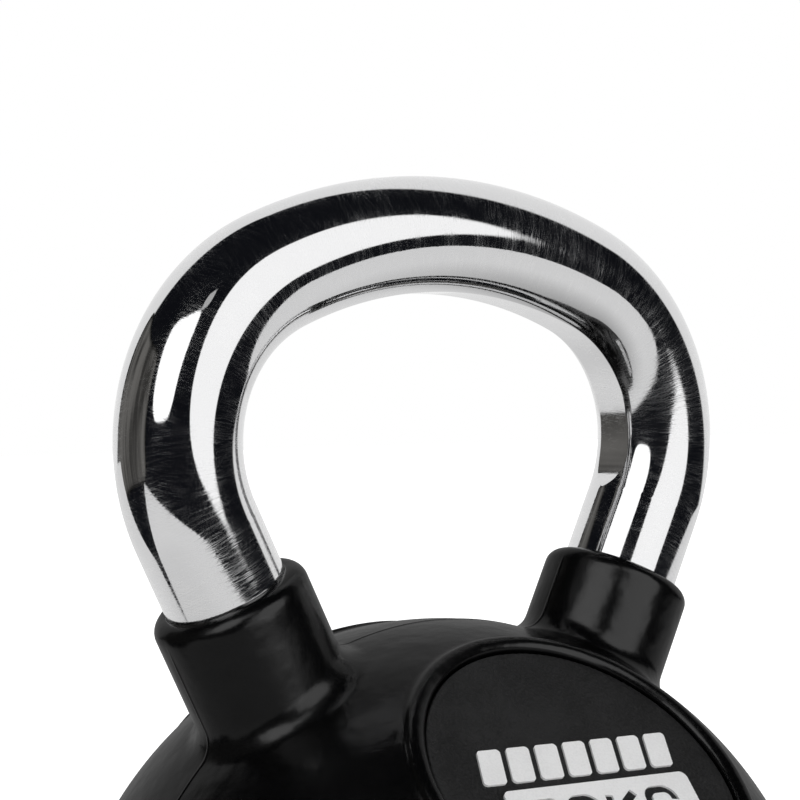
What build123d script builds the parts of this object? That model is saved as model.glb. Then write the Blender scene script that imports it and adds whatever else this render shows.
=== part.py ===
from build123d import *
import os
from math import cos, radians, sin, tan

os.makedirs("parts", exist_ok=True)

# A rubber-coated 20 kg kettlebell with a bent chrome bar for a handle.
# Millimetres, +Z up. The origin is the middle of the flat foot, on the floor.
# The handle lies in the XZ plane. The front badge faces -Y and up, the rear one +Y and up.

# ball
ballRadius = 95.0  # outside of the rubber
ballCentre = 75.0  # height of the ball's centre above the floor
jacketWall = 12.0  # rubber over the iron
footWall = 6.0  # rubber under the iron
footRound = 6.0

# handle, measured on the bar's centreline
barRadius = 15.0
crownHeight = 190.6  # above the ball's centre
crownRadius, crownSweep = 117.3, 23.5  # half of the gentle arc on top
shoulderRadius, shoulderSweep = 44.1, 92.6  # the tight bend at each side
legLength = 98.5  # straight bar from the bend down to its end inside the iron
endChamfer = 2.0
gripFlat = 1.0  # bending has flattened the inside of the bar by this much
flatFade = 76.5  # degrees round the tight bend where the flat starts to fade
flatEnd = 94.0  # degrees round the tight bend where it has gone
flatClear = 0.3  # how far past the bar's skin the fade is carried

# a collar round each leg; the left one reaches a little further up its leg
collarRadius = 19.3
collarDepth = 45.0  # from the rim to well inside the ball
leftBare, rightBare = 17.0, 19.3  # straight bar from the bend down to each rim
collarFillet = 7.0
rimRound, boreRound = 3.9, 0.3

# a cross pin through each leg, driven in from the side
pinRadius = 4.0
pinHeight = 48.0  # above the ball's centre
pinTip = 19.0  # from the middle plane to a pin's inner end

# badges, stuck in round recesses
badgeTilt = 47.3  # degrees that a badge looks up
badgeTurn = -1.6  # degrees that it sits turned in its recess
badgeRadius, badgeThickness, badgeRound = 40.0, 2.0, 0.4
badgeSeat = 84.2  # from the ball's centre to a badge's face
badgeBacking = 6.0  # rubber between a badge and the iron
grooveWidth = 0.5  # open groove round a badge
beadWidth, beadHeight, beadRoot = 4.4, 1.7, 3.0
beadRound, beadFillet = 1.6, 0.8

# raised white print on a badge, placed from the badge's middle: a plate with 20KG cut out
# of it, and above it a row of slanted stripes
printHeight = 0.6
plateWidth, plateDepth, plateCorner, plateSlant = 53.5, 18.0, 1.8, 6.0
plateLeft, plateTop = -26.5, -0.2
glyphWidth, glyphDepth, glyphStroke, glyphPitch = 7.4, 9.5, 2.1, 11.3
glyphLeft, glyphTop = -21.0, -4.45
glyphSlant, glyphBend = 10.0, 2.6
stripeCount, stripeWidth, stripeDepth, stripePitch = 7, 6.4, 9.7, 8.15
stripeLeft, stripeBottom = -28.4, 1.9
stripeSlant, stripeCorner = 17.0, 1.0

sides = {"front": -1, "rear": 1}


def facing(side, reach, turn=0.0):
    # a plane across a badge's axis, at a distance of reach from the ball's centre
    out = Vector(0, side * cos(radians(badgeTilt)), sin(radians(badgeTilt)))
    across = Vector(-side, 0, 0).rotate(Axis((0, 0, 0), out), turn)
    return Plane(Vector(0, 0, ballCentre) + out * reach, x_dir=across, z_dir=out)


def leaning(left, bottom, width, depth, slant, *corners):
    # points given as fractions of a box that leans to the right
    lean = tan(radians(slant)) * depth
    return [(left + x * width + y * lean, bottom + y * depth) for x, y in corners]


def slantedBox(left, bottom, width, depth, slant, corner):
    # a leaning box with round corners
    points = leaning(left, bottom, width, depth, slant, (0, 0), (1, 0), (1, 1), (0, 1))
    box = Polygon(*points, align=None)
    fillet(box.vertices(), corner)


def glyph(place, *corners):
    # points of one character's stroke, in its own leaning box
    left, bottom = glyphLeft + place * glyphPitch, glyphTop - glyphDepth
    return leaning(left, bottom, glyphWidth, glyphDepth, glyphSlant, *corners)


# ---- bar: swept round, then flattened inside the bend ----
with BuildPart() as bar:
    with BuildLine(Plane.XZ) as barLine:
        crown = JernArc((0, ballCentre + crownHeight), (1, 0), crownRadius, -crownSweep)
        shoulder = JernArc(crown @ 1, crown % 1, shoulderRadius, -shoulderSweep)
        leg = Line(shoulder @ 1, shoulder @ 1 + (shoulder % 1) * legLength)
        mirror(about=Plane.YZ)
    with BuildSketch(Plane(leg @ 1, z_dir=-(leg % 1))):
        Circle(barRadius)
    sweep(path=barLine.wire())
    chamfer(bar.edges().filter_by(GeomType.CIRCLE).group_by(Axis.Z)[0], endChamfer)

    flatReach = barRadius - gripFlat
    with BuildSketch(Plane.XZ):
        with BuildLine():
            apex = (0, ballCentre + crownHeight - flatReach)
            top = JernArc(apex, (1, 0), crownRadius - flatReach, -crownSweep)
            bend = JernArc(top @ 1, top % 1, shoulderRadius - flatReach, -flatFade)
            outward = (bend @ 1 - bend.arc_center).rotate(Axis.Z, flatFade - flatEnd).normalized()
            skin = shoulderRadius - barRadius - flatClear
            fade = TangentArc(bend @ 1, bend.arc_center + outward * skin, tangent=bend % 1)
            Line(fade @ 1, (0, (fade @ 1).Y))
            mirror(about=Plane.YZ)
        make_face()
    extrude(amount=barRadius, both=True, mode=Mode.SUBTRACT)

# ---- iron ball: a flat foot, and a flat behind each badge ----
with BuildPart() as blank:
    with Locations((0, 0, ballCentre)):
        Sphere(ballRadius - jacketWall)
    split(bisect_by=Plane.XY.offset(footWall), keep=Keep.TOP)
    for side in sides.values():
        split(bisect_by=facing(side, badgeSeat - badgeThickness - badgeBacking), keep=Keep.BOTTOM)

# ---- pins: through the iron into the legs, ground flush outside ----
with BuildPart() as pins:
    for side in (-1, 1):
        with BuildSketch(Plane.YZ.offset(side * pinTip)):
            with Locations((0, ballCentre + pinHeight)):
                Circle(pinRadius)
        extrude(amount=side * ballRadius)
    add(blank.part, mode=Mode.INTERSECT)
pins.part.label = "handle_pins"
export_step(pins.part, "parts/handle_pins.step")

with BuildPart() as handle:
    add(bar.part)
    add(pins.part, mode=Mode.SUBTRACT)
handle.part.label = "handle"
export_step(handle.part, "parts/handle.step")

with BuildPart() as core:
    add(blank.part)
    add(bar.part, mode=Mode.SUBTRACT)
    add(pins.part, mode=Mode.SUBTRACT)
core.part.label = "iron_core"
export_step(core.part, "parts/iron_core.step")

# ---- rubber jacket: ball, foot, collars, and a raised bead round each badge ----
with BuildPart() as jacket:
    with Locations((0, 0, ballCentre)):
        Sphere(ballRadius)
    split(bisect_by=Plane.XY, keep=Keep.TOP)
    fillet(jacket.edges().group_by(Axis.Z)[0], footRound)

    down = leg % 1
    for side, bare in ((-1, leftBare), (1, rightBare)):
        rim = leg @ 0 + down * bare
        with BuildSketch(Plane((side * rim.X, 0, rim.Z), z_dir=(-side * down.X, 0, -down.Z))):
            Circle(collarRadius)
        extrude(amount=-collarDepth)
        fillet(jacket.edges(Select.NEW), collarFillet)
    rims = jacket.edges().filter_by(GeomType.CIRCLE).filter_by(lambda edge: edge.radius == collarRadius)
    fillet(rims, rimRound)

    recessRadius = badgeRadius + grooveWidth
    for side in sides.values():
        seat = facing(side, badgeSeat)
        split(bisect_by=seat, keep=Keep.BOTTOM)
        with BuildSketch(Plane(seat.origin, x_dir=seat.x_dir, z_dir=-seat.y_dir)):
            with Locations((recessRadius, -beadRoot)):
                bead = Rectangle(beadWidth, beadRoot + beadHeight, align=(Align.MIN, Align.MIN))
            fillet(bead.vertices().group_by(Axis.Y)[-1], beadRound)
        revolve(axis=Axis(seat.origin, seat.z_dir))
        fillet(jacket.edges(Select.NEW).filter_by(GeomType.BSPLINE), beadFillet)
        with BuildSketch(seat):
            Circle(recessRadius)
        extrude(amount=-badgeThickness, mode=Mode.SUBTRACT)

    add(blank.part, mode=Mode.SUBTRACT)
    add(bar.part, mode=Mode.SUBTRACT)
    bores = jacket.edges().filter_by(GeomType.CIRCLE).filter_by(lambda edge: edge.radius == barRadius)
    fillet(bores.sort_by(Axis.Z)[-2:], boreRound)
jacket.part.label = "rubber_jacket"
export_step(jacket.part, "parts/rubber_jacket.step")

# ---- badges, and the white print on them ----
for name, side in sides.items():
    with BuildPart() as badge:
        with BuildSketch(facing(side, badgeSeat)):
            Circle(badgeRadius)
        extrude(amount=-badgeThickness)
        fillet(badge.edges().filter_by(GeomType.CIRCLE).group_by(Axis.Z)[-1], badgeRound)
    badge.part.label = f"{name}_badge"
    export_step(badge.part, f"parts/{name}_badge.step")

    face = facing(side, badgeSeat, badgeTurn)
    with BuildPart() as plate:
        with BuildSketch(face):
            slantedBox(plateLeft, plateTop - plateDepth, plateWidth, plateDepth, plateSlant, plateCorner)
            with BuildLine():
                FilletPolyline(*glyph(0, (0, 0.7), (0, 1), (1, 1), (1, 0.6), (0, 0)), radius=glyphBend / 2)
                Line(*glyph(0, (0, 0), (1, 0)))
            with BuildLine():
                FilletPolyline(*glyph(1, (0, 0), (1, 0), (1, 1), (0, 1)), radius=glyphBend, close=True)
            with BuildLine():
                Line(*glyph(2, (0, 0), (0, 1)))
                Line(*glyph(2, (0, 0.4), (1, 1)))
                Line(*glyph(2, (0.3, 0.58), (1, 0)))
            with BuildLine():
                hook = (1, 0.65), (1, 1), (0, 1), (0, 0), (1, 0), (1, 0.5)
                FilletPolyline(*glyph(3, *hook), radius=glyphBend)
                Line(*glyph(3, (1, 0.5), (0.5, 0.5)))
            trace(line_width=glyphStroke, mode=Mode.SUBTRACT)
        extrude(amount=printHeight)
    plate.part.label = f"{name}_weight_plate"
    export_step(plate.part, f"parts/{name}_weight_plate.step")

    with BuildPart() as mark:
        with BuildSketch(face):
            for number in range(stripeCount):
                slantedBox(stripeLeft + number * stripePitch, stripeBottom,
                           stripeWidth, stripeDepth, stripeSlant, stripeCorner)
        extrude(amount=printHeight)
    mark.part.label = f"{name}_mark"
    export_step(mark.part, f"parts/{name}_mark.step")
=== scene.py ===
import bmesh
import bpy
import numpy as np
from math import acos, atan, ceil, cos, degrees, pi, radians, sin, sqrt
from mathutils import Matrix, Vector
from mathutils.geometry import delaunay_2d_cdt


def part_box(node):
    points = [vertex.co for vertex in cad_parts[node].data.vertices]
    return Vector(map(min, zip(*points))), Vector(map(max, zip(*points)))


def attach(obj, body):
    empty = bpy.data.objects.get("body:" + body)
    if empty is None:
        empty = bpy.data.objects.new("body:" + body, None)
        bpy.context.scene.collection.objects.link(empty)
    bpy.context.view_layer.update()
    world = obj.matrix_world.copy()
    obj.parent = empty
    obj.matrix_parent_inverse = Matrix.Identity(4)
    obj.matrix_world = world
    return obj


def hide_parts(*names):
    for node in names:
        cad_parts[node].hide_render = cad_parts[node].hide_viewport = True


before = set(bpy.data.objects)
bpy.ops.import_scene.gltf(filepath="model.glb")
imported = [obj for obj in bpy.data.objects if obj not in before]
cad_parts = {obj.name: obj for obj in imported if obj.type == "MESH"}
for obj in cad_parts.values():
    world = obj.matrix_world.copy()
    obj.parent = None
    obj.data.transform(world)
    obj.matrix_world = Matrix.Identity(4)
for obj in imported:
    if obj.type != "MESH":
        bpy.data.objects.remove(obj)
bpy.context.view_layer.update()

print("frame loaded:", sorted(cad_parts))

# sizes in metres, angles in degrees until they are used
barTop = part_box("handle")[1].z
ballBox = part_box("rubber_jacket")
ball = {
    "radius": (ballBox[1].x - ballBox[0].x) / 2,
    "centre": np.array([0, 0, 0.075]),
    "footRound": 0.006,
    "footRows": (0.97, 0.8, 0.6, 0.4, 0.2),  # rings across the flat foot, as parts of its radius
    "footAround": 288,
    "spacing": 0.0022,  # between mesh points on the plain ball
    "extra": 1.15,  # more points than the spacing alone would give
    "clear": 0.6,  # how near an edge a point may come, as a part of the spacing
}


def unit(v):
    return v / np.linalg.norm(v, axis=-1, keepdims=True)


def along(a, b, t):
    return a + (b - a) * t


# a mesh grows as loops of points, bridged one to the next
class Shell:
    def __init__(self):
        self.points, self.faces, self.normals = [], [], {}

    def loop(self, points, normals=None):
        start = len(self.points)
        self.points += [tuple(p) for p in points]
        if normals is not None:
            self.normals.update(zip(range(start, start + len(points)), (tuple(n) for n in normals)))
        return list(range(start, start + len(points)))

    def bridge(self, a, b):
        n = len(a)
        self.faces += [(a[i], a[(i + 1) % n], b[(i + 1) % n], b[i]) for i in range(n)]

    def loops(self, rows):
        made = [self.loop(row) for row in rows]
        for a, b in zip(made, made[1:]):
            self.bridge(a, b)
        return made

    def cap(self, loop, centre):
        middle = self.loop([centre])[0]
        self.faces += [(loop[i], loop[(i + 1) % len(loop)], middle) for i in range(len(loop))]

    def build(self, name, material, body="root"):
        mesh = bpy.data.meshes.new(name)
        mesh.from_pydata(self.points, [], self.faces)
        mesh.validate()
        mesh.update()
        mesh.polygons.foreach_set("use_smooth", [True] * len(mesh.polygons))
        if self.normals:
            mesh.normals_split_custom_set_from_vertices(
                [self.normals.get(i, (0, 0, 0)) for i in range(len(mesh.vertices))])
        piece = bpy.data.objects.new(name, mesh)
        bpy.context.scene.collection.objects.link(piece)
        mesh.materials.append(material)
        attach(piece, body)
        return piece


def newMaterial(name):
    material = bpy.data.materials.new(name)
    material.use_nodes = True
    tree = material.node_tree
    return material, tree, tree.nodes["Principled BSDF"]


def node(tree, kind, **values):
    made = tree.nodes.new(kind)
    for key, value in values.items():
        if hasattr(made, key):
            setattr(made, key, value)
        else:
            made.inputs[key.replace("_", " ")].default_value = value
    return made


def link(tree, a, b):
    tree.links.new(a, b)


def maths(tree, operation, a, b=None, c=None, clamp=False):
    made = tree.nodes.new("ShaderNodeMath")
    made.operation = operation
    made.use_clamp = clamp
    for socket, value in zip(made.inputs, (a, b, c)):
        if value is None:
            continue
        if isinstance(value, (int, float)):
            socket.default_value = value
        else:
            link(tree, value, socket)
    return made.outputs[0]


def between(tree, value, low, high, toLow=0.0, toHigh=1.0):
    made = tree.nodes.new("ShaderNodeMapRange")
    made.interpolation_type = "SMOOTHSTEP"
    link(tree, value, made.inputs["Value"])
    for socket, number in zip(("From Min", "From Max", "To Min", "To Max"), (low, high, toLow, toHigh)):
        made.inputs[socket].default_value = number
    return made.outputs["Result"]


def noise(tree, vector, scale, detail=2.0, rough=0.5):
    made = tree.nodes.new("ShaderNodeTexNoise")
    link(tree, vector, made.inputs["Vector"])
    made.inputs["Scale"].default_value = scale
    made.inputs["Detail"].default_value = detail
    made.inputs["Roughness"].default_value = rough
    return made.outputs["Fac"]


def newGroup(name, inputs, outputs):
    tree = bpy.data.node_groups.new(name, "ShaderNodeTree")
    for label, kind, value in inputs:
        made = tree.interface.new_socket(label, in_out="INPUT", socket_type=kind)
        if value is not None:
            made.default_value = value
    for label, kind in outputs:
        tree.interface.new_socket(label, in_out="OUTPUT", socket_type=kind)
    return tree, tree.nodes.new("NodeGroupInput"), tree.nodes.new("NodeGroupOutput")


def useGroup(tree, group, **values):
    made = tree.nodes.new("ShaderNodeGroup")
    made.node_tree = group
    for label, value in values.items():
        made.inputs[label].default_value = value
    return made


# fine grain and slow blotches, for anything moulded or cast
def makeGrain():
    tree, given, made = newGroup(
        "grain",
        [("Vector", "NodeSocketVector", None), ("grainSize", "NodeSocketFloat", 2000.0),
         ("blotchSize", "NodeSocketFloat", 30.0)],
        [("grain", "NodeSocketFloat"), ("blotch", "NodeSocketFloat")])
    for size, detail, result in (("grainSize", 2, "grain"), ("blotchSize", 4, "blotch")):
        layer = node(tree, "ShaderNodeTexNoise", Detail=detail)
        link(tree, given.outputs["Vector"], layer.inputs["Vector"])
        link(tree, given.outputs[size], layer.inputs["Scale"])
        link(tree, layer.outputs["Fac"], made.inputs[result])
    return tree


grainGroup = makeGrain()


def surface(name, look):
    # a moulded or cast finish: one colour with blotches, a grain, and a roughness that varies
    material, tree, shader = newMaterial(name)
    place = tree.nodes.new("ShaderNodeTexCoord")
    grain = useGroup(tree, grainGroup, grainSize=look["grainSize"], blotchSize=look["blotchSize"])
    link(tree, place.outputs["Object"], grain.inputs["Vector"])
    mix = tree.nodes.new("ShaderNodeMix")
    mix.data_type = "RGBA"
    mix.inputs["A"].default_value = (*look["dark"], 1)
    mix.inputs["B"].default_value = (*look["light"], 1)
    mixed = maths(tree, "ADD", maths(tree, "MULTIPLY", grain.outputs["blotch"], 0.5),
                  maths(tree, "MULTIPLY", grain.outputs["grain"], 0.5))
    link(tree, between(tree, mixed, 0.38, 0.62), mix.inputs["Factor"])
    link(tree, mix.outputs["Result"], shader.inputs["Base Color"])
    low, high = look["roughness"]
    link(tree, between(tree, mixed, 0.3, 0.7, low, high), shader.inputs["Roughness"])
    bump = node(tree, "ShaderNodeBump", Strength=look["bump"], Distance=look["bumpDepth"])
    link(tree, grain.outputs["grain"], bump.inputs["Height"])
    if look.get("wave"):
        wave = node(tree, "ShaderNodeBump", Distance=look["wave"])
        link(tree, noise(tree, place.outputs["Object"], look["waveSize"], detail=2.0), wave.inputs["Height"])
        link(tree, wave.outputs["Normal"], bump.inputs["Normal"])
    link(tree, bump.outputs["Normal"], shader.inputs["Normal"])
    shader.inputs["Specular IOR Level"].default_value = look["specular"]
    shader.inputs["Metallic"].default_value = look.get("metallic", 0.0)
    return material


rubberLook = {
    "dark": (0.0010, 0.0010, 0.0011), "light": (0.0022, 0.0022, 0.0023),
    "grainSize": 1400.0, "blotchSize": 26.0, "roughness": (0.19, 0.27),
    "bump": 0.4, "bumpDepth": 0.00003, "specular": 0.45, "wave": 0.0004, "waveSize": 110.0,
}
badgeLook = {
    "dark": (0.0045, 0.0045, 0.0047), "light": (0.013, 0.013, 0.0134),
    "grainSize": 1500.0, "blotchSize": 40.0, "roughness": (0.42, 0.58),
    "bump": 0.9, "bumpDepth": 0.00015, "specular": 0.5,
}
printLook = {
    "dark": (0.78, 0.78, 0.78), "light": (0.84, 0.84, 0.84), "grainSize": 1800.0, "blotchSize": 60.0,
    "roughness": (0.42, 0.55), "bump": 0.2, "bumpDepth": 0.00003, "specular": 0.4,
}
ironLook = {
    "dark": (0.07, 0.068, 0.066), "light": (0.17, 0.168, 0.165), "grainSize": 700.0, "blotchSize": 45.0,
    "roughness": (0.45, 0.75), "bump": 0.8, "bumpDepth": 0.0004, "specular": 0.5, "metallic": 0.7,
}
pinLook = {
    "dark": (0.42, 0.42, 0.43), "light": (0.62, 0.62, 0.63), "grainSize": 2500.0, "blotchSize": 90.0,
    "roughness": (0.2, 0.4), "bump": 0.3, "bumpDepth": 0.00003, "specular": 0.5, "metallic": 1.0,
}


# hairline scratches that run round the bar, in clusters
def makeHairlines():
    tree, given, made = newGroup(
        "hairlines",
        [("Vector", "NodeSocketVector", None), ("lean", "NodeSocketFloat", 0.0),
         ("fineness", "NodeSocketFloat", 2200.0), ("reach", "NodeSocketFloat", 5.0),
         ("clusterAlong", "NodeSocketFloat", 140.0), ("clusterRound", "NodeSocketFloat", 1.6)],
        [("lines", "NodeSocketFloat"), ("clusters", "NodeSocketFloat")])
    parts = tree.nodes.new("ShaderNodeSeparateXYZ")
    link(tree, given.outputs["Vector"], parts.inputs["Vector"])
    turn = maths(tree, "MULTIPLY", parts.outputs["Y"], 2 * pi)
    side, front = maths(tree, "SINE", turn), maths(tree, "COSINE", turn)
    distance = maths(tree, "ADD", parts.outputs["X"], maths(tree, "MULTIPLY", side, given.outputs["lean"]))
    for alongBar, roundBar, detail, result in (
            ("fineness", "reach", 1.0, "lines"), ("clusterAlong", "clusterRound", 2.0, "clusters")):
        place = tree.nodes.new("ShaderNodeCombineXYZ")
        for value, scale, axis in ((distance, alongBar, "X"), (side, roundBar, "Y"), (front, roundBar, "Z")):
            link(tree, maths(tree, "MULTIPLY", value, given.outputs[scale]), place.inputs[axis])
        link(tree, noise(tree, place.outputs["Vector"], 1.0, detail=detail), made.inputs[result])
    return tree


chromeLook = {
    "colour": (0.72, 0.72, 0.725), "roughness": (0.035, 0.09),
    "haze": 0.75, "hazeRoughness": 0.3, "hazeIor": 2.6,  # a rough coat, where there are scratches
    "bump": 0.0000015, "wave": 0.00003, "waveSize": 60.0,
    # most worn places: distance along the bar from the crown, and how far the wear reaches
    "worn": [(-0.131, 0.016), (0.088, 0.02)], "wear": 0.8,
    # lean, fineness, reach and strength of each set of hairlines
    "layers": [(0.003, 4200.0, 2.5, 0.9), (-0.006, 3200.0, 4.0, 0.8), (0.05, 1500.0, 60.0, 0.45)],
}


def chrome(name, look):
    material, tree, shader = newMaterial(name)
    shader.inputs["Metallic"].default_value = 1.0
    shader.inputs["Base Color"].default_value = (*look["colour"], 1)
    shader.inputs["Coat Roughness"].default_value = look["hazeRoughness"]
    shader.inputs["Coat IOR"].default_value = look["hazeIor"]
    group = makeHairlines()
    uv = node(tree, "ShaderNodeUVMap", uv_map="barUv")
    parts = tree.nodes.new("ShaderNodeSeparateXYZ")
    link(tree, uv.outputs["UV"], parts.inputs["Vector"])
    wear = 0.0
    for spot, width in look["worn"]:
        away = maths(tree, "ABSOLUTE", maths(tree, "SUBTRACT", parts.outputs["X"], spot))
        wear = maths(tree, "ADD", wear, between(tree, away, 0.0, width, look["wear"], 0.0))
    total = None
    for lean, fineness, reach, strength in look["layers"]:
        layer = useGroup(tree, group, lean=lean, fineness=fineness, reach=reach)
        link(tree, uv.outputs["UV"], layer.inputs["Vector"])
        cut = between(tree, layer.outputs["lines"], 0.44, 0.7, 0.0, strength)
        patch = between(tree, layer.outputs["clusters"], 0.4, 0.62, 0.1, 1.0)
        scratch = maths(tree, "MULTIPLY", cut, maths(tree, "ADD", patch, wear))
        total = scratch if total is None else maths(tree, "ADD", total, scratch)
    low, high = look["roughness"]
    link(tree, between(tree, total, 0.0, 1.2, low, high), shader.inputs["Roughness"])
    link(tree, maths(tree, "MULTIPLY", total, look["haze"], clamp=True), shader.inputs["Coat Weight"])
    place = tree.nodes.new("ShaderNodeTexCoord")
    wave = node(tree, "ShaderNodeBump", Distance=look["wave"])
    link(tree, noise(tree, place.outputs["Object"], look["waveSize"], detail=1.0), wave.inputs["Height"])
    bump = node(tree, "ShaderNodeBump", Distance=look["bump"])
    link(tree, total, bump.inputs["Height"])
    link(tree, wave.outputs["Normal"], bump.inputs["Normal"])
    link(tree, bump.outputs["Normal"], shader.inputs["Normal"])
    return material


rubber = surface("mouldedRubber", rubberLook)
badgeBlack = surface("badgeBlack", badgeLook)
printWhite = surface("printWhite", printLook)
castIron = surface("castIron", ironLook)
pinSteel = surface("pinSteel", pinLook)
barChrome = chrome("barChrome", chromeLook)
print("materials made")

bar = {
    "radius": 0.015, "crownRadius": 0.1173, "crownSweep": 23.5,
    "shoulderRadius": 0.0441, "shoulderSweep": 92.6,
    "leftBare": 0.0170, "rightBare": 0.0193, "leg": 0.0985, "endChamfer": 0.002,
    "flat": 0.001, "flatFade": 76.5, "flatEnd": 94.0, "flatEdge": 0.00008,
    # where points stand in a section, as parts of the angle from the flat's middle to its edge
    "inside": 0.9, "edge": (0.94, 1.06), "outside": 1.12,
    "step": 0.0008, "around": 112, "acrossFlat": 18, "acrossEdge": 7,
    "underRim": 0.01, "hiddenStep": 0.006, "hiddenRings": 8,  # rings stand wider apart inside the rubber
}
bar["height"] = barTop - bar["radius"]
crownLength = bar["crownRadius"] * radians(bar["crownSweep"])
shoulderLength = bar["shoulderRadius"] * radians(bar["shoulderSweep"])
bentLength = crownLength + shoulderLength


def barAt(distance):
    # middle of the bar, its direction and its outward side, at a distance from the crown: + is to the right
    side, d = (1 if distance >= 0 else -1), abs(distance)
    r1, r2, a1 = bar["crownRadius"], bar["shoulderRadius"], radians(bar["crownSweep"])
    if d < crownLength:
        angle = d / r1
        x, z = r1 * sin(angle), bar["height"] - r1 + r1 * cos(angle)
    else:
        angle = a1 + min(d - crownLength, shoulderLength) / r2
        x = (r1 - r2) * sin(a1) + r2 * sin(angle)
        z = bar["height"] - r1 + (r1 - r2) * cos(a1) + r2 * cos(angle)
    past = max(0.0, d - bentLength)
    x, z = x + past * cos(angle), z - past * sin(angle)
    middle = np.array([side * x, 0, z])
    outward = np.array([side * sin(angle), 0, cos(angle)])
    return middle, outward


def flatDepth(distance):
    bend = degrees(max(0.0, abs(distance) - crownLength) / bar["shoulderRadius"])
    fade = min(1.0, max(0.0, (bend - bar["flatFade"]) / (bar["flatEnd"] - bar["flatFade"])))
    return bar["flat"] * (1 - fade * fade)


def barRing(distance, shrink=0.0):
    # one section: round, with a flat on the inside of the bend; angle 0 is the middle of the flat
    middle, outward = barAt(distance)
    depth = flatDepth(distance)
    r = bar["radius"] - shrink
    half = max(acos(1 - depth / bar["radius"]), radians(1))
    edge = half * np.linspace(*bar["edge"], bar["acrossEdge"])
    inside = np.linspace(-bar["inside"] * half, bar["inside"] * half, bar["acrossFlat"])
    outside = np.linspace(bar["outside"] * half, 2 * pi - bar["outside"] * half, bar["around"])
    angle = np.concatenate([-edge[::-1], inside, edge, outside])
    flat = (r - depth) / np.maximum(np.cos(angle), 0.2)
    soft = bar["flatEdge"] * max(depth / bar["flat"], 0.02)
    h = np.clip(0.5 + 0.5 * (flat - r) / soft, 0, 1)
    reach = along(flat, r, h) - soft * h * (1 - h)
    inward, sideways = reach * np.cos(angle), reach * np.sin(angle)
    points = middle - outward * inward[:, None] + np.array([0, 1, 0]) * sideways[:, None]
    return points, angle


def makeBar():
    shell = Shell()
    shown = bentLength + bar["rightBare"] + bar["underRim"]
    seated = bentLength + bar["leg"]
    count = ceil(2 * shown / bar["step"])
    stops = list(np.linspace(-shown, shown, count))
    hidden = list(np.linspace(shown + bar["hiddenStep"], seated - bar["endChamfer"], bar["hiddenRings"]))
    stops = [-d for d in reversed(hidden)] + stops + hidden
    rings = [barRing(d) for d in stops]
    ends = [barRing(-seated, bar["endChamfer"]), barRing(seated, bar["endChamfer"])]
    rings, stops = [ends[0], *rings, ends[1]], [-seated, *stops, seated]
    made = [shell.loop(points) for points, angle in rings]
    spots = {}
    for loop, (points, angle), stop in zip(made, rings, stops):
        spots.update({index: (stop, a / (2 * pi)) for index, a in zip(loop, angle)})
    for a, b in zip(made, made[1:]):
        shell.bridge(a, b)
    shell.cap(made[0], barAt(-seated)[0])
    shell.cap(made[-1], barAt(seated)[0])
    piece = shell.build("chromeBar", barChrome)
    mesh = piece.data
    uv = mesh.uv_layers.new(name="barUv")
    for face in mesh.polygons:
        here = [spots.get(mesh.loops[i].vertex_index, (0, 0)) for i in face.loop_indices]
        top = max(v for u, v in here)
        for i, (u, v) in zip(face.loop_indices, here):
            uv.data[i].uv = u, (v + 1 if top - v > 0.5 else v)
    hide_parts("handle")
    return piece


chromeBar = makeBar()
print("bar made")

# rubber jacket: collars, bosses, foot, and the plain ball between them
collar = {
    "radius": 0.0193, "bore": 0.01502, "boreDepth": 0.009, "boreRound": 0.00028, "rimRound": 0.0039,
    "fillet": 0.007, "around": 168, "wallStep": 0.0014,
}
# a thin seam of the mould, in the plane of the bar: half its width and its height
seam = {
    "half": 0.00036, "height": 0.00016, "spacing": 0.0012,
    "rows": np.array([-2, -1, -0.5, 0, 0.5, 1, 2]),  # rows of points across it, in half widths
    "reach": 2.5,  # half widths from its middle within which a point belongs to it
}
boss = {
    "tilt": 47.3, "seat": 0.0842, "recess": 0.0405, "depth": 0.002, "width": 0.0044, "height": 0.0017,
    "foot": 0.0466, "around": 264,
}


def badgeAxes(side):
    # middle of a badge's face, and its across, up and outward directions; side is -1 in front and 1 behind
    tilt = radians(boss["tilt"])
    out = np.array([0, side * cos(tilt), sin(tilt)])
    across = np.array([-side, 0, 0])
    return ball["centre"] + out * boss["seat"], across, np.cross(out, across), out


def turned(profile, centre, across, up, out, count):
    # loops of points from a profile of (distance from the axis, height)
    angle = np.linspace(0, 2 * pi, count, endpoint=False)
    spread = np.cos(angle)[:, None] * across + np.sin(angle)[:, None] * up
    return [centre + spread * r + out * h for r, h in profile]


def arcRows(centre, radius, start, end, rows):
    return [(centre[0] + radius * cos(radians(a)), centre[1] + radius * sin(radians(a)))
            for a in np.linspace(start, end, rows)]


def collarFrame(side):
    bare = bentLength + bar["rightBare" if side > 0 else "leftBare"]
    middle, outward = barAt(side * bare)
    inner, _ = barAt(side * (bare + 0.01))
    down = unit(inner - middle)
    return middle, down, outward


def seamLift(beside):
    return seam["height"] * np.clip(1 - (beside / seam["half"]) ** 2, 0, 1)


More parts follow.
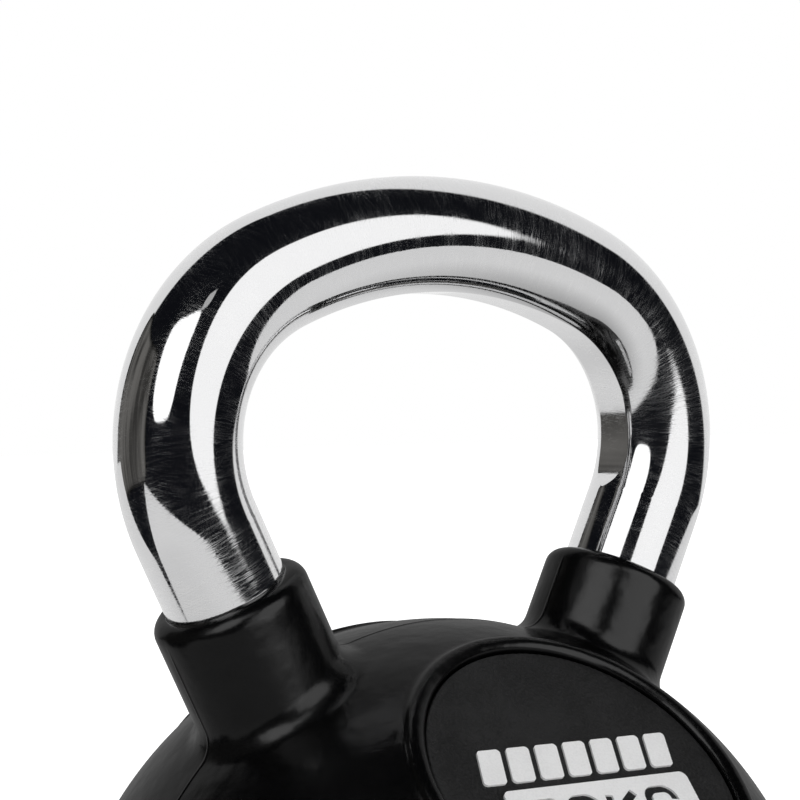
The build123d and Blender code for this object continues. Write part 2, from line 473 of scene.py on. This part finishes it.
def collarRows(side):
    rim, down, outward = collarFrame(side)
    close = seam["half"] / collar["radius"] * seam["rows"]
    angle = np.linspace(0, 2 * pi, collar["around"], endpoint=False)
    nearest = np.abs((angle + pi / 2) % pi - pi / 2)
    angle = np.sort(np.concatenate([angle[nearest > 0.05], close % (2 * pi), close + pi]))
    beside = np.abs((angle + pi / 2) % pi - pi / 2) * collar["radius"]
    lift = seamLift(beside)
    spread = np.cos(angle)[:, None] * outward + np.sin(angle)[:, None] * np.array([0, side, 0])
    r, bore, small, big, fillet = (collar[k] for k in ("radius", "bore", "boreRound", "rimRound", "fillet"))
    profile = [(bore, collar["boreDepth"]), (bore, 0.003)]
    profile += arcRows((bore + small, small), small, 180, 270, 6)
    profile += arcRows((r - big, big), big, 270, 360, 10)
    rows = [rim + spread * a + down * b for a, b in profile]
    # a ball of the fillet's radius rolls between the collar's wall and the ball
    start = rim + spread * (r + fillet) - ball["centre"]
    b = start @ down
    c = (start * start).sum(1) - (ball["radius"] + fillet) ** 2
    depth = -b - np.sqrt(b * b - c)
    hub = start + depth[:, None] * down
    wall = ceil((depth.max() - big) / collar["wallStep"])
    for t in np.linspace(0, 1, wall + 1)[1:-1]:
        reach = r + lift * min(1, 4 * t)
        rows.append(rim + spread * reach[:, None] + down * along(big, depth, t)[:, None])
    a, b = -spread, -unit(hub)
    full = np.arccos(np.clip((a * b).sum(1), -1, 1))[:, None]
    for t in np.linspace(0, 1, 12):
        way = (np.sin((1 - t) * full) * a + np.sin(t * full) * b) / np.sin(full)
        rows.append(ball["centre"] + hub + way * (fillet - lift)[:, None])
    return rows


def bossRows(side):
    centre, across, up, out = badgeAxes(side)
    r, wide, high, foot = boss["recess"], boss["width"] / 2, boss["height"], boss["foot"]

    def ballHeight(at):
        return sqrt(ball["radius"] ** 2 - at * at) - boss["seat"]

    profile = [(r * 0.5, -boss["depth"]), (r, -boss["depth"]), (r, -boss["depth"] * 0.5)]
    profile += [(r + wide - wide * cos(radians(a)), high * sin(radians(a))) for a in np.linspace(0, 165, 22)]
    slope = -foot / sqrt(ball["radius"] ** 2 - foot * foot)
    p0, p2 = np.array(profile[-1]), np.array([foot, ballHeight(foot)])
    back = 0.0016
    p1 = p2 - np.array([back, slope * back])
    steps = np.linspace(0, 1, 9)[1:]
    profile += [tuple(p0 * (1 - t) ** 2 + 2 * p1 * t * (1 - t) + p2 * t * t) for t in steps]
    return turned(profile, centre, across, up, out, boss["around"])


def flatten(points):
    # seen from the foot: every point of the ball above the foot lands inside one circle
    p = unit(np.asarray(points) - ball["centre"])
    return p[:, :2] / (1 + p[:, 2])[:, None]


def raised(points):
    q = np.asarray(points)
    s = (q * q).sum(1)
    p = np.c_[2 * q, 1 - s] / (1 + s)[:, None]
    return ball["centre"] + p * ball["radius"]


def insideLoop(points, loop):
    # even-odd test of many points against one loop
    x, y = points[:, 0], points[:, 1]
    inside = np.zeros(len(points), bool)
    for (x0, y0), (x1, y1) in zip(loop, np.roll(loop, -1, 0)):
        crosses = (y0 > y) != (y1 > y)
        with np.errstate(divide="ignore", invalid="ignore"):
            inside ^= crosses & (x < (x1 - x0) * (y - y0) / (y1 - y0) + x0)
    return inside


def makeJacket():
    shell = Shell()
    r, c = ball["radius"], ball["centre"]
    holes = []
    for side in (-1, 1):
        rows = shell.loops(collarRows(side))
        holes.append(rows[-1])
    for side in (-1, 1):
        rows = shell.loops(bossRows(side))
        shell.cap(rows[0], badgeAxes(side)[0] - badgeAxes(side)[3] * boss["depth"])
        holes.append(rows[-1])
    # foot: round edge, then flat
    small = ball["footRound"]
    reach = sqrt((r - small) ** 2 - (c[2] - small) ** 2)
    tip = atan(reach / (c[2] - small))
    profile = [(reach + small * sin(a), small - small * cos(a)) for a in np.linspace(tip, 0, 10)]
    profile += [(reach * t, 0.0) for t in ball["footRows"]]
    rows = shell.loops(turned(profile, np.zeros(3), *np.eye(3), ball["footAround"]))
    shell.cap(rows[-1], (0, 0, 0))
    holes.append(rows[0])

    # plain ball between them: evenly spread points, joined to the edges of the other parts
    total = int(4 * pi * r * r / ball["spacing"] ** 2 * ball["extra"])
    k = np.arange(total) + 0.5
    height, turn = 1 - 2 * k / total, k * pi * (1 + sqrt(5))
    flatRing = np.sqrt(1 - height ** 2)
    spread = c + r * np.c_[flatRing * np.cos(turn), flatRing * np.sin(turn), height]
    spread = spread[spread[:, 2] > shell.points[holes[-1][0]][2] + ball["spacing"] * 0.5]
    loops = [np.array([shell.points[i] for i in hole]) for hole in holes]
    for loop in loops[:-1]:
        spread = spread[~insideLoop(flatten(spread), flatten(loop))]
    # seam: close rows of points over the top and down both sides
    turns = np.arange(-pi, pi, seam["spacing"] / r)
    line = r * np.stack([np.sin(turns), 0 * turns, np.cos(turns)], 1)
    line = line[line[:, 2] + c[2] > shell.points[holes[-1][0]][2] + seam["spacing"]]
    for loop in loops[:-1]:
        line = line[~insideLoop(flatten(line + c), flatten(loop))]
        near = np.min(((line[:, None] + c - loop[None]) ** 2).sum(2), axis=1)
        line = line[near > (ball["clear"] * seam["spacing"]) ** 2]
    spread = spread[np.abs(spread[:, 1]) > 0.5 * ball["spacing"]]
    rowsOff = seam["half"] * seam["rows"]
    spread = np.concatenate([spread, *(c + r * unit(line + (0, off, 0)) for off in rowsOff)])
    for loop in loops:
        near = np.min(((spread[:, None, :] - loop[None, ::2, :]) ** 2).sum(2), axis=1)
        onSeam = np.abs(spread[:, 1]) < seam["reach"] * seam["half"]
        free = near > (ball["spacing"] * ball["clear"]) ** 2
        spread = spread[free | (onSeam & (near > (0.5 * seam["spacing"]) ** 2))]
    edgeIndex = [i for hole in holes for i in hole]
    flat = np.concatenate([flatten(loop) for loop in loops] + [flatten(spread)])
    edges, start = [], 0
    for hole in holes:
        n = len(hole)
        edges += [(start + i, start + (i + 1) % n) for i in range(n)]
        start += n
    found = delaunay_2d_cdt([Vector(p) for p in flat], edges, [], 0, 1e-9)
    points, faces, source = found[0], found[2], found[3]
    index = {}
    extra = raised(np.array([p[:] for p in flat[len(edgeIndex):]]))
    extra = extra + unit(extra - c) * seamLift(np.abs(extra[:, 1]))[:, None]
    extra = shell.loop(extra)
    where = edgeIndex + extra
    for i, given in enumerate(source):
        index[i] = where[given[0]]
    middles = np.array([(points[a] + points[b] + points[d]) / 3 for a, b, d in faces])
    keep = insideLoop(middles, flatten(loops[-1]))
    for loop in loops[:-1]:
        keep &= ~insideLoop(middles, flatten(loop))
    shell.faces += [tuple(index[i] for i in face) for face, good in zip(faces, keep) if good]
    for i in where:
        if abs(shell.points[i][1]) > seam["reach"] * seam["half"]:
            shell.normals[i] = tuple(unit(np.array(shell.points[i]) - c))
    turnOutward(shell)
    piece = shell.build("rubberJacket", rubber)
    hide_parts("rubber_jacket")
    return piece


def turnOutward(shell):
    # every face is wound so that it faces out of the solid
    mesh = bpy.data.meshes.new("temp")
    mesh.from_pydata(shell.points, [], shell.faces)
    work = bmesh.new()
    work.from_mesh(mesh)
    bmesh.ops.recalc_face_normals(work, faces=work.faces)
    shell.faces = [tuple(v.index for v in face.verts) for face in work.faces]
    work.free()
    bpy.data.meshes.remove(mesh)


rubberJacket = makeJacket()
print("jacket made")

view = {"azimuth": -35.48, "elevation": 0.08, "roll": -0.83, "distance": 0.5487,
        "aim": (-0.0103, 0, 0.2250), "lens": 100.0}


def makeCamera():
    camera = bpy.data.objects.new("camera", bpy.data.cameras.new("camera"))
    bpy.context.scene.collection.objects.link(camera)
    camera.data.lens = view["lens"]
    camera.data.sensor_width = 36
    a, e, roll = (radians(view[k]) for k in ("azimuth", "elevation", "roll"))
    back = Vector((sin(a) * cos(e), -cos(a) * cos(e), sin(e)))
    right = (-back).cross(Vector((0, 0, 1))).normalized()
    up = right.cross(-back)
    right, up = right * cos(roll) + up * sin(roll), up * cos(roll) - right * sin(roll)
    turn = Matrix((right, up, back)).transposed().to_4x4()
    turn.translation = Vector(view["aim"]) + back * view["distance"]
    camera.matrix_world = turn
    camera.data.clip_start, camera.data.clip_end = 0.01, 50
    bpy.context.scene.camera = camera


makeCamera()
print("camera placed")

# CAD pieces that stay as they are
finishes = {"iron_core": castIron, "handle_pins": pinSteel}
for side in ("front", "rear"):
    finishes[f"{side}_badge"] = badgeBlack
    finishes[f"{side}_weight_plate"] = finishes[f"{side}_mark"] = printWhite
for name, material in finishes.items():
    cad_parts[name].data.materials.clear()
    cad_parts[name].data.materials.append(material)
print("kept CAD pieces finished:", sorted(finishes))

bpy.context.scene.view_settings.view_transform = "Standard"


# studio: glowing cards on a big sphere round the bar, a table, and a pale floor
def glow(name, strength, colour=(1, 1, 1), soft=0.12, streak=0.0, clear=False):
    material = bpy.data.materials.new(name)
    material.use_nodes = True
    tree = material.node_tree
    tree.nodes.clear()
    made = tree.nodes.new("ShaderNodeOutputMaterial")
    shine = tree.nodes.new("ShaderNodeEmission")
    shine.inputs["Color"].default_value = (*colour, 1)
    fade = node(tree, "ShaderNodeAttribute", attribute_name="fade")
    level = between(tree, fade.outputs["Fac"], 0.0, soft, 0.0, strength)
    if streak:
        place = tree.nodes.new("ShaderNodeTexCoord")
        squeeze = node(tree, "ShaderNodeMapping", Scale=(1.0, 1.0, 0.12))
        link(tree, place.outputs["Object"], squeeze.inputs["Vector"])
        wave = noise(tree, squeeze.outputs["Vector"], 2.2, detail=3.0)
        level = maths(tree, "MULTIPLY", level, between(tree, wave, 0.35, 0.65, 1 - streak, 1 + streak))
    link(tree, level, shine.inputs["Strength"])
    out = shine.outputs["Emission"]
    if clear:
        both = tree.nodes.new("ShaderNodeAddShader")
        link(tree, out, both.inputs[0])
        link(tree, tree.nodes.new("ShaderNodeBsdfTransparent").outputs["BSDF"], both.inputs[1])
        out = both.outputs["Shader"]
    link(tree, out, made.inputs["Surface"])
    return material


studio = {
    "middle": 0.2,  # height of the point that the lights stand round
    "sky": (0.005, 0.0055, 0.0075), "skyFill": 0.4,  # dark in reflections; its part of white in soft light
    "floorHalf": 8.0, "floorDrop": 0.0005, "floorColour": 0.8,
    # painted light: the floor glows, least near the ball and most far out
    "glowFrom": (0.15, 0.9), "floorGlow": (0.4, 1.05),  # the floor glows more the further out it is
    "keyPlace": (-0.25, -1.3, 1.7), "keyAim": (0, 0, 0.15), "keySize": 1.4, "keyPower": 14,
}


def onlyReflected(thing):
    thing.visible_camera = thing.visible_diffuse = thing.visible_shadow = False
    thing.visible_transmission = thing.visible_volume_scatter = False


def placeSheet(name, shell, fades, look):
    # the same sheet twice: as the bar sees it, and, nearer and see-through, as all the rest does
    for target, closer in (("Bar", 1.0), ("Rest", look.get("closer", 0.8))):
        strength = look["on" + target]
        if not strength:
            continue
        material = glow(name + target, strength, look.get("colour", (1, 1, 1)), look.get("soft", 0.12),
                        look.get("streak", 0.0), clear=target == "Rest")
        sheet = rawObject(name + target, shell, material)
        towards = Matrix.Translation((0, 0, studio["middle"] * (1 - closer)))
        sheet.data.transform(towards @ Matrix.Scale(closer, 4))
        fade = sheet.data.attributes.new("fade", "FLOAT", "POINT")
        fade.data.foreach_set("value", fades)
        onlyReflected(sheet)
        sheet.light_linking.receiver_collection = receivers[target]


def card(name, look):
    # a rounded sheet that covers centre +- half, as (azimuth, elevation) seen from the bar
    shell, rings = Shell(), 14
    angle = np.linspace(0, 2 * pi, 120, endpoint=False)
    x, y = (np.sign(f) * np.abs(f) ** (2 / look["power"]) for f in (np.cos(angle), np.sin(angle)))
    (a0, e0), (wide, high) = look["centre"], look["half"]
    x = x * (1 + look.get("taper", 0) * y)  # wider at the top

    def place(t):
        a = np.radians(a0 + wide * x * t)
        e = np.radians(np.maximum(e0 + high * y * t, look.get("lowest", -90)))
        way = np.stack([np.sin(a) * np.cos(e), -np.cos(a) * np.cos(e), np.sin(e)], 1)
        return way * look["distance"] + (0, 0, studio["middle"])

    steps = np.linspace(1, 0.02, rings)
    made = shell.loops([place(t) for t in steps])
    shell.cap(made[-1], place(0)[0])
    fades = np.concatenate([(1 - t) * np.ones(len(angle)) for t in steps] + [[1.0]])
    placeSheet(name, shell, fades, look)


def rawObject(name, shell, material):
    mesh = bpy.data.meshes.new(name)
    mesh.from_pydata(shell.points, [], shell.faces)
    mesh.update()
    mesh.materials.append(material)
    thing = bpy.data.objects.new(name, mesh)
    bpy.context.scene.collection.objects.link(thing)
    return thing


cards = {
    "leftSoftbox": {"centre": (-61.5, 27), "half": (22, 20), "power": 4.0, "distance": 3.0,
                    "taper": 0.22, "soft": 0.05, "onBar": 1.5, "onRest": 1.7},
    "frontSoftbox": {"centre": (13, 21), "half": (29, 28), "power": 2.6, "distance": 3.0,
                     "soft": 0.05, "onBar": 1.22, "onRest": 1.35},
    # two soft lights for everything but the bar
    "lowFront": {"centre": (4, -11), "half": (26, 12), "power": 2.6, "distance": 3.0, "soft": 0.5,
                 "onBar": 0.0, "onRest": 1.0},
    "highFill": {"centre": (-29, 42), "half": (12, 14), "power": 2.6, "distance": 3.0, "soft": 0.7,
                 "onBar": 0.0, "onRest": 1.0},
    "smallLight": {"centre": (-37, 48), "half": (6, 4), "power": 3.0, "distance": 3.0,
                   "onBar": 0.5, "onRest": 0.5},
    "backdrop": {"centre": (141, 25), "half": (69, 38), "power": 3.0, "distance": 3.2,
                 "soft": 0.06, "lowest": -10, "onBar": 0.9, "onRest": 0.26},
    "darkPanel": {"centre": (-124, 10), "half": (36, 24), "power": 7.0, "distance": 2.8, "soft": 0.1,
                  "colour": (1, 0.97, 0.92), "streak": 0.6, "onBar": 0.1, "onRest": 0.03},
}
tableLook = {
    "onBar": 0.82, "onRest": 0.28, "soft": 1.0, "closer": 0.999,
    "outline": np.array([(-0.9, 0.1, 0), (0.45, -0.95, 0), (2.4, 2.1, 0), (-1.5, 2.9, 0), (-0.24, 0.11, 0)]),
    "sideSteps": 24, "rings": 30, "inmost": 0.02, "crowding": 1.5,  # its rings crowd towards the middle
    # painted shadow in the table's glow
    "dark": 0.45, "shadow": 0.08, "shadowFade": 0.3,  # brightness and size of the ball's shadow
}


def makeReceivers():
    made = {"Bar": [chromeBar], "Rest": [rubberJacket] + [
        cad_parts[name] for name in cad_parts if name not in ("handle", "rubber_jacket")]}
    for target, things in made.items():
        group = bpy.data.collections.new("lit" + target)
        for thing in things:
            group.objects.link(thing)
        receivers[target] = group


receivers = {}


def makeStudio():
    makeReceivers()
    for name, look in cards.items():
        card(name, look)

    # table: a glowing sheet, seen only in reflections, that stands for the lit table; the ball's shadow is
    # painted into its glow, darker near the ball
    table = Shell()
    outline = tableLook["outline"]
    corners = zip(outline, np.roll(outline, -1, 0))
    sides = np.concatenate([np.linspace(a, b, tableLook["sideSteps"], endpoint=False) for a, b in corners])
    steps = np.linspace(1, tableLook["inmost"], tableLook["rings"]) ** tableLook["crowding"]
    made = table.loops([sides * t for t in steps])
    table.cap(made[-1], (0, 0, 0))
    reach = np.linalg.norm(np.array(table.points), axis=1)
    # painted shadow: the table's glow is dimmed near the ball
    light = np.clip((reach - tableLook["shadow"]) / tableLook["shadowFade"], 0, 1)
    placeSheet("glowingTableTop", table, along(tableLook["dark"], 1.0, light), tableLook)

    floor = Shell()
    half, drop = studio["floorHalf"], studio["floorDrop"]
    loop = floor.loop([(x * half, y * half, -drop) for x, y in ((-1, -1), (1, -1), (1, 1), (-1, 1))])
    floor.faces.append(tuple(loop))
    material, tree, shader = newMaterial("paleFloor")
    shader.inputs["Base Color"].default_value = (*[studio["floorColour"]] * 3, 1)
    shader.inputs["Roughness"].default_value = 0.9
    shader.inputs["Emission Color"].default_value = (1, 1, 1, 1)
    shader.inputs["Emission Strength"].default_value = 1.0
    place = tree.nodes.new("ShaderNodeTexCoord")
    far = tree.nodes.new("ShaderNodeVectorMath")
    far.operation = "LENGTH"
    link(tree, place.outputs["Object"], far.inputs[0])
    # painted light: the floor's glow grows with distance from the ball
    glowing = between(tree, far.outputs["Value"], *studio["glowFrom"], *studio["floorGlow"])
    link(tree, glowing, shader.inputs["Emission Color"])
    ground = rawObject("floor", floor, material)
    ground.visible_glossy = False

    lamp = bpy.data.lights.new("keyLamp", "AREA")
    lamp.shape, lamp.size, lamp.energy = "DISK", studio["keySize"], studio["keyPower"]
    key = bpy.data.objects.new("keyLamp", lamp)
    bpy.context.scene.collection.objects.link(key)
    key.location = studio["keyPlace"]
    key.rotation_euler = (Vector(studio["keyAim"]) - key.location).to_track_quat("-Z", "Y").to_euler()
    key.visible_glossy = key.visible_camera = False

    world = bpy.data.worlds.new("studio")
    bpy.context.scene.world = world
    world.use_nodes = True
    tree = world.node_tree
    sky = tree.nodes["Background"]
    path = tree.nodes.new("ShaderNodeLightPath")
    mix = tree.nodes.new("ShaderNodeMix")
    mix.data_type = "RGBA"
    mix.inputs["A"].default_value = (*studio["sky"], 1)
    mix.inputs["B"].default_value = (1, 1, 1, 1)
    fill = maths(tree, "MULTIPLY", path.outputs["Is Diffuse Ray"], studio["skyFill"])
    seen = maths(tree, "MAXIMUM", path.outputs["Is Camera Ray"], fill)
    link(tree, seen, mix.inputs["Factor"])
    link(tree, mix.outputs["Result"], sky.inputs["Color"])


makeStudio()
print("studio made")
